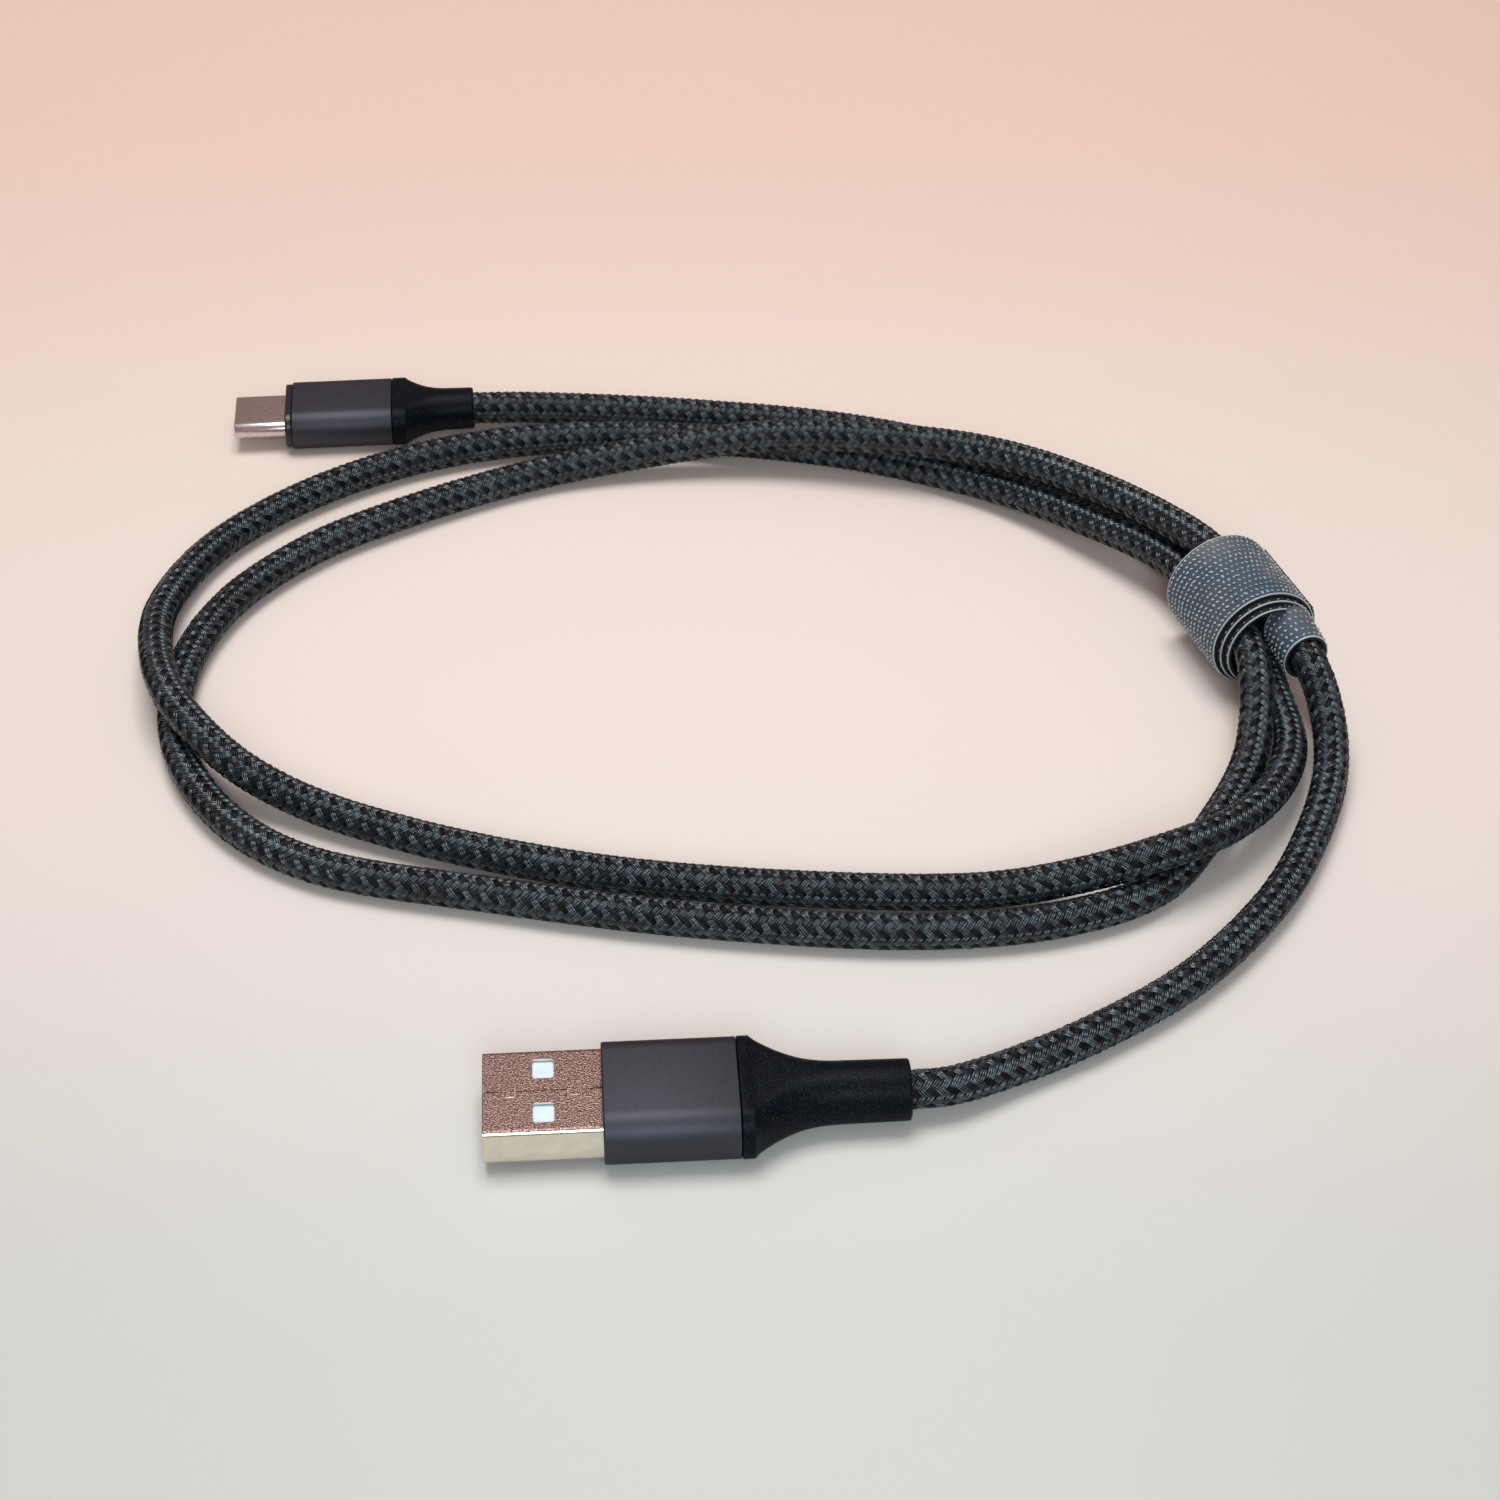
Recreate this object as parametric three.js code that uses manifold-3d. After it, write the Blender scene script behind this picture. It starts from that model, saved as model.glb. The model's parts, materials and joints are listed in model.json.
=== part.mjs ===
// Braided USB-A to USB-C charging cable, laid down as a loose coil of two turns under a hook-and-loop tie.
// Millimetres, +Z up. The origin is on the surface it lies on, under the middle of the plugs and the tie.
// Plug frames: +X from the mouth towards the cord, +Z up, on the plug's axis at its mouth.

import * as THREE from 'three';
import { mergeVertices } from 'three/addons/utils/BufferGeometryUtils.js';
import Module from 'manifold-3d';

const wasm = await Module();
wasm.setup();

// ---------------------------------------------------------------- driving dimensions

const CORD_RADIUS = 2.0;
const CORD_SIDES = 8;
const CORD_STEPS = 160;
const FACE_GAP = 0.3;
const JACKET_RADIUS = 1.75;
const BOOT_BORE = 2.4;
const FERRULE = { inner: 1.9, outer: 2.2, length: 4 };
const WIRE = { radius: 0.38, sides: 6, steps: 7 };

const PLUG_A = { mouth: [-27.5, -64.8], yaw: 3.5, width: 14.6, height: 6.7 };
const PLUG_C = { mouth: [-69.1, 64.1], yaw: 4.5, width: 11.2, height: 5.6 };

const SHELL_A = { width: 12.0, height: 4.5, wall: 0.3, corner: 0.55, length: 18.5 };
const WINDOW_A = { start: 5.2, end: 7.45, across: 3.15, half: 1.4 };
const TONGUE_A = { width: 11.1, underside: 0.1, back: 12.4 };
const PAD_A = { width: 1.0, thickness: 0.2, end: 21.6, slot: 1.2 };
const SHELL_C = { width: 8.25, height: 2.4, wall: 0.25, length: 12.0 };
const CONTACT_C = { pitch: 0.5, middle: 6.5, width: 0.28 };
const LATCH_C = { thickness: 0.44 };

// Stations along each plug, from its mouth
const A_X = { housing: 12.4, boot: 26.6, flange: 28.0, end: 44.5 };
const C_X = { ring: 6.8, housing: 7.7, boot: 21.1, flange: 23.0, end: 32.0 };

const TIE = {
  centre: [59.99, 16.22], yaw: -70, width: 12.7, bore: 5.25, tape: 0.65, pitch: 0.75, turns: 2.0, startAngle: -1.35,
};
const TIE_LOOP = { start: 8.05, end: 11.85, across: 2.45, up: 1.36, halfWidth: 2.45, halfHeight: 2.75, tape: 0.5 };
const TIE_AXIS_HEIGHT = 7.4;

// The cord's centreline from the USB-A boot to the USB-C boot: once through the tie as a lead, then
// two turns, each of which passes the tie again. Heights of 2.15 lie on the surface; the humps are the
// places where one turn rides over another, and the three passes are gathered and lifted in the tie.
const CORD_ROUTE = [
  [17.2, -62.1, 3.35],
  [21.3, -61.2, 3.0],
  [28.8, -57.3, 2.2],
  [37.3, -52.5, 2.15],
  [48.3, -44.3, 2.15],
  [58.8, -31.8, 2.15],
  [64.6, -20.5, 2.15],
  [68.0, -10.5, 2.7],
  [68.6, -4.5, 4.6],
  [67.9, 0.8, 7.0],
  [66.7, 4.8, 8.5],
  [65.4, 8.8, 9.1],
  [60.8, 17.7, 9.6],
  [56.5, 25.8, 9.9],
  [51.2, 32.6, 9.5],
  [44.1, 40.2, 8.5],
  [36.2, 46.9, 7.5],
  [27.8, 51.2, 6.9],
  [12.8, 54.7, 6.2],
  [1.3, 56.0, 5.3],
  [-13.2, 55.2, 3.4],
  [-27.5, 52.0, 2.2],
  [-44.2, 43.4, 2.15],
  [-56.2, 34.8, 2.15],
  [-65.2, 23.0, 2.15],
  [-69.0, 9.0, 2.15],
  [-67.4, -5.0, 2.15],
  [-60.2, -17.6, 2.15],
  [-49.7, -25.4, 2.15],
  [-27.9, -30.8, 2.15],
  [-5.2, -34.8, 2.15],
  [20.3, -36.6, 2.15],
  [35.8, -34.4, 2.15],
  [46.4, -29.2, 2.15],
  [54.2, -17.6, 2.2],
  [58.7, -8.4, 3.2],
  [60.1, -2.6, 5.5],
  [60.4, 2.6, 7.6],
  [60.1, 7.2, 8.2],
  [57.2, 16.4, 7.4],
  [54.4, 25.0, 6.1],
  [51.4, 29.9, 5.6],
  [44.1, 37.9, 4.3],
  [36.0, 45.4, 3.1],
  [27.8, 50.7, 2.4],
  [12.8, 56.7, 2.15],
  [-7.2, 60.1, 2.15],
  [-27.9, 60.0, 2.15],
  [-43.7, 55.6, 2.15],
  [-57.7, 47.0, 2.15],
  [-68.2, 35.5, 2.2],
  [-72.8, 22.5, 2.9],
  [-71.9, 10.0, 5.5],
  [-68.4, -0.7, 6.6],
  [-60.4, -10.2, 4.9],
  [-52.0, -15.0, 2.9],
  [-37.6, -20.9, 2.15],
  [-16.8, -26.8, 2.15],
  [5.8, -29.6, 2.15],
  [26.8, -30.2, 2.5],
  [38.3, -29.9, 4.8],
  [46.6, -28.3, 6.6],
  [54.9, -22.6, 5.6],
  [61.3, -13.6, 3.9],
  [64.0, -4.9, 3.0],
  [63.3, 3.8, 3.3],
  [62.5, 7.8, 4.3],
  [60.8, 17.7, 5.2],
  [58.6, 26.5, 6.1],
  [53.4, 35.6, 4.8],
  [45.3, 45.0, 3.4],
  [36.8, 52.3, 2.5],
  [27.8, 57.4, 2.15],
  [12.8, 62.6, 2.15],
  [-6.2, 65.8, 2.15],
  [-23.2, 67.3, 2.2],
  [-31.7, 67.05, 2.6],
  [-36.9, 66.6, 2.8],
];

// ---------------------------------------------------------------- materials

const paint = (color, roughness, metalness) =>
  new THREE.MeshStandardMaterial({ color, roughness, metalness });

const NICKEL = paint(0xb9b1ad, 0.32, 1.0);
const ANODISED = paint(0x3b3d45, 0.42, 0.9);
const BOOT_BLACK = paint(0x14161b, 0.55, 0.0);
const RING_BLACK = paint(0x0d0e10, 0.4, 0.0);
const WHITE_NYLON = paint(0xe6ebf2, 0.45, 0.0);
const BLACK_LCP = paint(0x1b1c1f, 0.5, 0.0);
const GOLD = paint(0xd9b25c, 0.25, 1.0);
const SPRING_STEEL = paint(0xb8bbc0, 0.3, 1.0);
const TINNED = paint(0xa9abad, 0.4, 1.0);
const BOARD = paint(0x1d5a39, 0.5, 0.0);
const CHIP = paint(0x18181a, 0.5, 0.0);
const MOULD = paint(0xd9d8d0, 0.6, 0.0);
const JACKET = paint(0x24262a, 0.6, 0.0);
const BRAID = paint(0x1c3340, 0.7, 0.0);
const TAPE = paint(0x59636f, 0.75, 0.0);
const WIRE_COLOURS = { red: 0xa3231f, white: 0xdddcd6, green: 0x2c7a45, black: 0x17181a };

// ---------------------------------------------------------------- solids

const PLUG_AXES = new THREE.Matrix4().makeBasis(
  new THREE.Vector3(0, 1, 0),
  new THREE.Vector3(0, 0, 1),
  new THREE.Vector3(1, 0, 0),
);
const SIDE_AXES = new THREE.Matrix4().makeBasis(
  new THREE.Vector3(1, 0, 0),
  new THREE.Vector3(0, 0, 1),
  new THREE.Vector3(0, -1, 0),
);

function toSolid(geometry) {
  const bare = geometry.clone();
  bare.deleteAttribute('normal');
  bare.deleteAttribute('uv');
  const merged = mergeVertices(bare, 1e-5);
  return new wasm.Manifold(new wasm.Mesh({
    numProp: 3,
    vertProperties: new Float32Array(merged.attributes.position.array),
    triVerts: new Uint32Array(merged.index.array),
  }));
}

function toGeometry(solid) {
  const mesh = solid.getMesh();
  const geometry = new THREE.BufferGeometry();
  geometry.setAttribute('position', new THREE.BufferAttribute(mesh.vertProperties, 3));
  geometry.setIndex(new THREE.BufferAttribute(mesh.triVerts, 1));
  geometry.computeVertexNormals();
  return geometry;
}

function cut(base, ...tools) {
  return toGeometry(tools.reduce((solid, tool) => solid.subtract(toSolid(tool)), toSolid(base)));
}

function roundedSection(width, height, radius) {
  const w = width / 2 - radius;
  const h = height / 2 - radius;
  const shape = new THREE.Shape();
  shape.absarc(w, h, radius, 0, Math.PI / 2);
  shape.absarc(-w, h, radius, Math.PI / 2, Math.PI);
  shape.absarc(-w, -h, radius, Math.PI, Math.PI * 1.5);
  shape.absarc(w, -h, radius, Math.PI * 1.5, Math.PI * 2);
  return shape;
}

// A section drawn across the plug, run along it from x0 to x1
function bar(shape, x0, x1, curveSegments = 5) {
  const geometry = new THREE.ExtrudeGeometry(shape, { depth: x1 - x0, bevelEnabled: false, curveSegments });
  return geometry.applyMatrix4(PLUG_AXES).translate(x0, 0, 0);
}

function roundedBar(width, height, radius, x0, x1, curveSegments) {
  return bar(roundedSection(width, height, radius), x0, x1, curveSegments);
}

function block(x0, x1, y0, y1, z0, z1) {
  const geometry = new THREE.BoxGeometry(x1 - x0, y1 - y0, z1 - z0);
  return geometry.translate((x0 + x1) / 2, (y0 + y1) / 2, (z0 + z1) / 2);
}

function rod(radius, x0, x1, sides = 20) {
  const geometry = new THREE.CylinderGeometry(radius, radius, x1 - x0, sides);
  return geometry.rotateZ(Math.PI / 2).translate((x0 + x1) / 2, 0, 0);
}

// A side outline of [x, z] points, as wide as width, centred on y
function strip(outline, width, y) {
  const shape = new THREE.Shape(outline.map(([x, z]) => new THREE.Vector2(x, z)));
  const geometry = new THREE.ExtrudeGeometry(shape, { depth: width, bevelEnabled: false });
  return geometry.applyMatrix4(SIDE_AXES).translate(0, y + width / 2, 0);
}

function tube(points, radius, sides, steps) {
  const section = new THREE.Shape();
  for (let i = 0; i < sides; i += 1) {
    const angle = (i / sides) * Math.PI * 2;
    const corner = [radius * Math.cos(angle), radius * Math.sin(angle)];
    if (i === 0) section.moveTo(...corner);
    else section.lineTo(...corner);
  }
  const extrudePath = new THREE.CatmullRomCurve3(points.map((p) => new THREE.Vector3(...p)), false, 'centripetal');
  return new THREE.ExtrudeGeometry(section, { steps, extrudePath, bevelEnabled: false });
}

// Rings of superellipses along X, each { x, w, h, power }, closed by a fan at each end
function loft(rings, sides = 28) {
  const vertices = [];
  const faces = [];
  for (const { x, w, h, power } of rings) {
    for (let i = 0; i < sides; i += 1) {
      const angle = ((i + 0.5) / sides) * Math.PI * 2;
      const c = Math.cos(angle);
      const s = Math.sin(angle);
      const reach = (Math.abs(c) ** power + Math.abs(s) ** power) ** (-1 / power);
      vertices.push(x, w * c * reach, h * s * reach);
    }
  }
  for (let ring = 0; ring + 1 < rings.length; ring += 1) {
    for (let i = 0; i < sides; i += 1) {
      const a = ring * sides + i;
      const b = ring * sides + ((i + 1) % sides);
      faces.push(a, b, b + sides, a, b + sides, a + sides);
    }
  }
  const front = vertices.length / 3;
  vertices.push(rings[0].x, 0, 0, rings[rings.length - 1].x, 0, 0);
  const last = (rings.length - 1) * sides;
  for (let i = 0; i < sides; i += 1) {
    const next = (i + 1) % sides;
    faces.push(front, next, i, front + 1, last + i, last + next);
  }
  const geometry = new THREE.BufferGeometry();
  geometry.setAttribute('position', new THREE.BufferAttribute(new Float32Array(vertices), 3));
  geometry.setIndex(faces);
  return geometry;
}

function add(parent, name, geometry, material) {
  const mesh = new THREE.Mesh(geometry, material);
  mesh.name = name;
  parent.add(mesh);
  return mesh;
}

function plugGroup({ mouth, yaw, height }) {
  const group = new THREE.Group();
  group.position.set(mouth[0], mouth[1], height / 2);
  group.rotation.z = THREE.MathUtils.degToRad(yaw);
  return group;
}

// The cord's stripped end, its ferrule and the four wires, which both plugs hold
function cordEnd(group, plug, { jacket, end, ferrule, boot, tails, tailX, tailZ }) {
  add(group, `${plug}_jacket_end`, rod(JACKET_RADIUS, jacket, end - FACE_GAP, 16), JACKET);
  add(group, `${plug}_crimp_ferrule`, cut(
    rod(FERRULE.outer, ferrule, ferrule + FERRULE.length),
    rod(FERRULE.inner, ferrule - 1, ferrule + FERRULE.length + 1),
  ), TINNED);
  const bundle = [[-0.55, 0.5], [-0.55, -0.5], [0.55, -0.5], [0.55, 0.5]];
  tails.forEach(([colour, tailY], i) => {
    const [y, z] = bundle[i];
    const reach = boot - tailX;
    const route = [
      [tailX, tailY, tailZ],
      [tailX + reach * 0.3, tailY * 0.9, tailZ],
      [boot, y * 1.8, z * 1.3],
      [jacket - 0.2, y, z],
    ];
    add(group, `${plug}_wire_${colour}`, tube(route, WIRE.radius, WIRE.sides, WIRE.steps), paint(WIRE_COLOURS[colour], 0.5, 0));
  });
}

// ---------------------------------------------------------------- USB-A plug

function buildPlugA() {
  const group = plugGroup(PLUG_A);
  const { width, height, wall, corner, length } = SHELL_A;

  const windows = [];
  for (const middle of [-WINDOW_A.across, WINDOW_A.across]) {
    windows.push(block(WINDOW_A.start, WINDOW_A.end, middle - WINDOW_A.half, middle + WINDOW_A.half, -height, height));
  }
  const shellHole = roundedBar(width - 2 * wall, height - 2 * wall, corner - wall, -1, length + 1);
  add(group, 'usb_a_shell', cut(roundedBar(width, height, corner, 0, length), shellHole, ...windows), NICKEL);

  // The pads face down into the free half of the mouth, under the tongue
  const pads = [['vbus', -3.5, 1.2], ['data_minus', -1.0, 2.2], ['data_plus', 1.0, 2.2], ['ground', 3.5, 1.2]];
  const { underside, back } = TONGUE_A;
  const slots = pads.map(([, y]) => block(back - 0.4, 20, y - PAD_A.slot / 2, y + PAD_A.slot / 2, -0.3, underside));
  const tongue = [
    [0.5, underside], [back, underside], [back, -1.7], [length + 0.4, -1.7], [length + 0.4, 1.8], [0.9, 1.8], [0.5, 1.4],
  ];
  add(group, 'usb_a_insulator', cut(strip(tongue, TONGUE_A.width, 0), ...slots), WHITE_NYLON);
  for (const [name, y, start] of pads) {
    const low = -PAD_A.thickness;
    const outline = [[start, 0], [start, low * 0.4], [start + 0.4, low], [PAD_A.end, low], [PAD_A.end, 0]];
    add(group, `usb_a_contact_${name}`, strip(outline, PAD_A.width, y), GOLD);
  }

  const mould = cut(roundedBar(12.9, 5.1, 1.0, 19.2, 26.3), roundedBar(11.1, 3.3, 0.5, 18, 27));
  add(group, 'usb_a_inner_mould', mould, MOULD);

  const sleeve = roundedBar(PLUG_A.width, PLUG_A.height, 1.5, A_X.housing, A_X.boot - 0.1, 6);
  const pocket = roundedBar(13.3, 5.4, 1.0, A_X.housing + 1, A_X.boot + 1);
  const mouth = roundedBar(width + 0.3, height + 0.3, corner + 0.15, A_X.housing - 1, A_X.boot + 1);
  add(group, 'usb_a_housing', cut(sleeve, pocket, mouth), ANODISED);

  const w = PLUG_A.width / 2;
  const h = PLUG_A.height / 2;
  const body = loft([
    { x: A_X.boot, w, h, power: 6 },
    { x: A_X.flange, w, h, power: 6 },
    { x: A_X.flange + 0.4, w: w - 0.55, h: h - 0.1, power: 5 },
    { x: A_X.flange + 1.8, w: 5.6, h: 3.25, power: 3.6 },
    { x: A_X.flange + 3.4, w: 4.4, h: 3.25, power: 2.8 },
    { x: A_X.flange + 5.4, w: 3.6, h: 3.2, power: 2.2 },
    { x: A_X.flange + 7.6, w: 3.3, h: 3.2, power: 2 },
    { x: A_X.end - 0.3, w: 3.15, h: 3.15, power: 2 },
    { x: A_X.end, w: 2.9, h: 2.9, power: 2 },
  ]);
  add(group, 'usb_a_boot', cut(body, rod(BOOT_BORE, A_X.boot - 1, A_X.end + 1)), BOOT_BLACK);

  cordEnd(group, 'usb_a', {
    jacket: 32.0,
    end: A_X.end,
    ferrule: 34.0,
    boot: A_X.boot,
    tails: [['red', -3.5], ['white', -1.0], ['green', 1.0], ['black', 3.5]],
    tailX: 21.9,
    tailZ: -0.1,
  });
  return group;
}

// ---------------------------------------------------------------- USB-C plug

function buildPlugC() {
  const group = plugGroup(PLUG_C);
  const { width, height, wall, length } = SHELL_C;

  const stadium = (grow, x0, x1) => {
    const w = width + 2 * grow;
    const h = height + 2 * grow;
    return roundedBar(w, h, h / 2 - 0.001, x0, x1);
  };
  add(group, 'usb_c_shell', cut(stadium(0, 0, length), stadium(-wall, -1, length + 1)), NICKEL);

  // The insulator is a frame round the mouth: contact bays above and below, a latch slot on each side
  const frameCuts = [
    block(-1, 6.5, -3.35, 3.35, -0.55, 0.55),
    block(1.5, 6.3, -3.0, 3.0, -2, 2),
    block(-1, 13, -3.0, 3.0, 0.42, 0.68),
    block(-1, 13, -3.0, 3.0, -0.68, -0.42),
    block(1.7, 10.9, 2.95, 4.5, -0.34, 0.34),
    block(1.7, 10.9, -4.5, -2.95, -0.34, 0.34),
  ];
  add(group, 'usb_c_insulator', cut(stadium(-wall - 0.1, 0.4, 11.9), ...frameCuts), BLACK_LCP);

  const spring = [
    [13.4, 0.475], [13.4, 0.625], [5.6, 0.625], [3.0, 0.47], [2.4, 0.47], [2.0, 0.6],
    [1.9, 0.5], [2.4, 0.34], [3.0, 0.34], [5.6, 0.475],
  ];
  const rows = {
    top: [[1, 'ground'], [4, 'vbus'], [5, 'cc'], [6, 'data_plus'], [7, 'data_minus'], [9, 'vbus'], [12, 'ground']],
    bottom: [[1, 'ground'], [4, 'vbus'], [9, 'vbus'], [12, 'ground']],
  };
  for (const [row, pins] of Object.entries(rows)) {
    const up = row === 'top' ? 1 : -1;
    const outline = spring.map(([x, z]) => [x, z * up]);
    for (const [pin, name] of pins) {
      add(group, `usb_c_contact_${row}_${pin}_${name}`, strip(outline, CONTACT_C.width, (pin - CONTACT_C.middle) * CONTACT_C.pitch), GOLD);
    }
  }

  // A sprung arm each side, with a nose that clips into a receptacle's tongue
  for (const [name, side] of [['left', 1], ['right', -1]]) {
    const arm = [[10.6, 3.15], [10.6, 3.35], [2.6, 3.35], [2.2, 3.1], [2.6, 2.8], [3.1, 2.8], [3.7, 3.15]];
    const shape = new THREE.Shape(arm.map(([x, y]) => new THREE.Vector2(x, y * side)));
    const geometry = new THREE.ExtrudeGeometry(shape, { depth: LATCH_C.thickness, bevelEnabled: false });
    add(group, `usb_c_latch_${name}`, geometry.translate(0, 0, -LATCH_C.thickness / 2), SPRING_STEEL);
  }

  add(group, 'usb_c_circuit_board', block(12.1, 18.2, -3.95, 3.95, -0.4, 0.4), BOARD);
  add(group, 'usb_c_pullup_resistor', block(14.6, 15.6, -0.3, 0.3, 0.5, 0.9), CHIP);

  const mould = cut(roundedBar(9.6, 4.0, 1.3, 9.1, 20.8), roundedBar(8.6, 2.75, 1.2, 8, 22));
  add(group, 'usb_c_inner_mould', mould, MOULD);

  add(group, 'usb_c_front_ring', cut(
    roundedBar(10.7, 5.2, 2.0, C_X.ring, C_X.housing - 0.1, 6),
    stadium(0.15, 0, 20),
  ), RING_BLACK);

  const sleeve = roundedBar(PLUG_C.width, PLUG_C.height, 2.1, C_X.housing, C_X.boot - 0.1, 6);
  const pocket = roundedBar(9.9, 4.3, 1.4, C_X.housing + 1, C_X.boot + 1);
  add(group, 'usb_c_housing', cut(sleeve, pocket, stadium(0.15, 0, 30)), ANODISED);

  const w = PLUG_C.width / 2;
  const h = PLUG_C.height / 2;
  const body = loft([
    { x: C_X.boot, w, h, power: 3.6 },
    { x: C_X.flange, w, h, power: 3.6 },
    { x: C_X.flange + 0.3, w: w - 0.5, h: h - 0.1, power: 3.4 },
    { x: C_X.flange + 1.4, w: 4.2, h: 2.75, power: 2.8 },
    { x: C_X.flange + 2.9, w: 3.3, h: 2.75, power: 2.2 },
    { x: C_X.flange + 4.6, w: 2.9, h: 2.75, power: 2 },
    { x: C_X.end - 0.3, w: 2.75, h: 2.75, power: 2 },
    { x: C_X.end, w: 2.55, h: 2.55, power: 2 },
  ]);
  add(group, 'usb_c_boot', cut(body, rod(BOOT_BORE, C_X.boot - 1, C_X.end + 1)), BOOT_BLACK);

  cordEnd(group, 'usb_c', {
    jacket: 22.2,
    end: C_X.end,
    ferrule: 24.0,
    boot: C_X.boot,
    tails: [['red', -3.0], ['white', -1.0], ['green', 1.0], ['black', 3.0]],
    tailX: 18.5,
    tailZ: 0,
  });
  return group;
}

// ---------------------------------------------------------------- tie

// The tie is one strap: it closes on itself as a loop round the USB-A lead, then winds round all
// three passes. In its own frame +X runs along the bundle, away from the long stretch of the coil.
function buildTie() {
  const group = new THREE.Group();
  group.position.set(TIE.centre[0], TIE.centre[1], TIE_AXIS_HEIGHT);
  group.rotation.z = THREE.MathUtils.degToRad(TIE.yaw);

  const stepsPerTurn = 28;
  const steps = TIE.turns * stepsPerTurn;
  const inner = [];
  const outer = [];
  for (let i = 0; i <= steps; i += 1) {
    const turn = i / stepsPerTurn;
    const angle = TIE.startAngle + turn * Math.PI * 2;
    const radius = TIE.bore + TIE.pitch * turn;
    inner.push(new THREE.Vector2(radius * Math.cos(angle), radius * Math.sin(angle)));
    outer.push(new THREE.Vector2((radius + TIE.tape) * Math.cos(angle), (radius + TIE.tape) * Math.sin(angle)));
  }
  const wrap = bar(new THREE.Shape([...outer, ...inner.reverse()]), -TIE.width / 2, TIE.width / 2);

  const { start, end, across, up, halfWidth, halfHeight, tape } = TIE_LOOP;
  const oval = (grow) => {
    const shape = new THREE.Shape();
    shape.absellipse(0, 0, halfWidth + grow, halfHeight + grow, 0, Math.PI * 2);
    return shape;
  };
  const loopSolid = toSolid(bar(oval(tape), start, end, 12))
    .subtract(toSolid(bar(oval(0), start - 1, end + 1, 12)))
    .translate([0, across, up]);

  // The strap runs on from the loop under the first turn, on the outer side of the bundle
  const neck = block(TIE.width / 2 - 0.8, start + 0.8, across + halfWidth - 0.1, across + halfWidth + 0.9, -0.4, 2.2);
  const strap = toSolid(wrap).add(toSolid(neck)).add(loopSolid);
  add(group, 'tie_strap', toGeometry(strap), TAPE);
  return group;
}

// ---------------------------------------------------------------- assembly

const group = new THREE.Group();
group.add(buildPlugA(), buildPlugC(), buildTie());
add(group, 'braided_cord', tube(CORD_ROUTE, CORD_RADIUS, CORD_SIDES, CORD_STEPS), BRAID);

export default group;
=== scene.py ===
"""A braided charging cable, coiled and held by a hook-and-loop tie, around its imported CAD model.

Lengths are in millimetres inside each maker and turn into metres where a mesh is written.
"""

import json
import math

import bmesh
import bpy
import numpy as np
from mathutils import Matrix, Vector


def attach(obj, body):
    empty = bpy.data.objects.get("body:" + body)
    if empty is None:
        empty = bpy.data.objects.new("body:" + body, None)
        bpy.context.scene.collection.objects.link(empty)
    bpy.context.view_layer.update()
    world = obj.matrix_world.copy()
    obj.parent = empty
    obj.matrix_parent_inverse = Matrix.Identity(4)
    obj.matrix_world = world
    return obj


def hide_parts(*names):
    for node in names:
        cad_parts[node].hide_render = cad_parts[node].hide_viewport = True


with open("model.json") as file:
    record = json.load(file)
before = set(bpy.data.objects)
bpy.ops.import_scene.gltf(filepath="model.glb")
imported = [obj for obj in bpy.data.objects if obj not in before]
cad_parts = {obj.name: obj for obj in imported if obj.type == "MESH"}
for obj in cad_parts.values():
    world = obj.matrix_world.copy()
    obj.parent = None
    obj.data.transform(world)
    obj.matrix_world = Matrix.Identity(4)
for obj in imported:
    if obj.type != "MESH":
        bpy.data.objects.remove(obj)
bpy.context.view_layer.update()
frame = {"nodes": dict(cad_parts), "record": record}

MM = 0.001

# ------------------------------------------------------------------ driving dimensions

PLUG_A = {"mouth": (-27.5, -64.8), "yaw": 3.5, "width": 14.6, "height": 6.7, "corner": 2.9}
PLUG_C = {"mouth": (-69.1, 64.1), "yaw": 4.5, "width": 11.2, "height": 5.6, "corner": 2.5}
FRONT_TRIM = {**PLUG_C, "width": 10.7, "height": 5.2, "corner": 2.3}
SHELL_A = {"width": 12.0, "height": 4.5, "wall": 0.3, "corner": 0.55}
SHELL_C = {"width": 8.25, "height": 2.4, "wall": 0.25}
WINDOW_A = {"along": 6.325, "across": 3.15, "half_length": 1.125, "half_width": 1.4, "corner": 0.3}
SEAM_A = {"dovetail": 0.87, "half_width": 0.1, "overlap": 0.06, "depth": 0.2}
A_X = {"housing": 12.4, "boot": 26.6, "flange": 28.0, "end": 44.5}
C_X = {"ring": 6.8, "housing": 7.7, "boot": 21.1, "flange": 23.0, "end": 32.0}
BOOT_A = {"corner": 2.8, "barrel": 3.35, "swoop": 9.5}
BOOT_C = {"corner": 2.4, "barrel": 2.85, "swoop": 6.0}
BOOT_BORE = 2.4
HOUSING_WALL = 0.65

TIE = {"centre": (59.99, 16.22), "yaw": -70, "width": 12.7, "bore": 5.05, "pitch": 0.55, "turns": 2.85}
TIE_START = 1.3
TIE_AXIS_HEIGHT = 7.4
TIE_TAPE = 0.46
TIE_CREEP = 0.85
LOOP = {
    "start": 7.4, "end": 12.9, "drop": 0.2, "across": 2.4, "up": 1.3,
    "half_width": 2.42, "half_height": 2.6, "tape": 0.5,
}
# Hooks: their spacing, the share that is there, each level's (height, radius), and the tip
HOOK_EVERY = 0.62
HOOKS_KEPT = 1.0
HOOK_LEVELS = ((0.0, 0.15), (0.08, 0.17), (0.15, 0.11))
HOOK_TIP = {"height": 0.19, "lean": 2.2}
TICK_EVERY = 3

# The braid: 12 carriers each way, each passing over two and under two
CARRIERS = 12
BRAID_PITCH = 11.9
BRAID_RADIUS = 1.84
BRAID_LIFT = 0.2
BRAID_ROLL = math.radians(22.5)
CORE_RADIUS = 1.74
CORD_TUCK = 2.0
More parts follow.
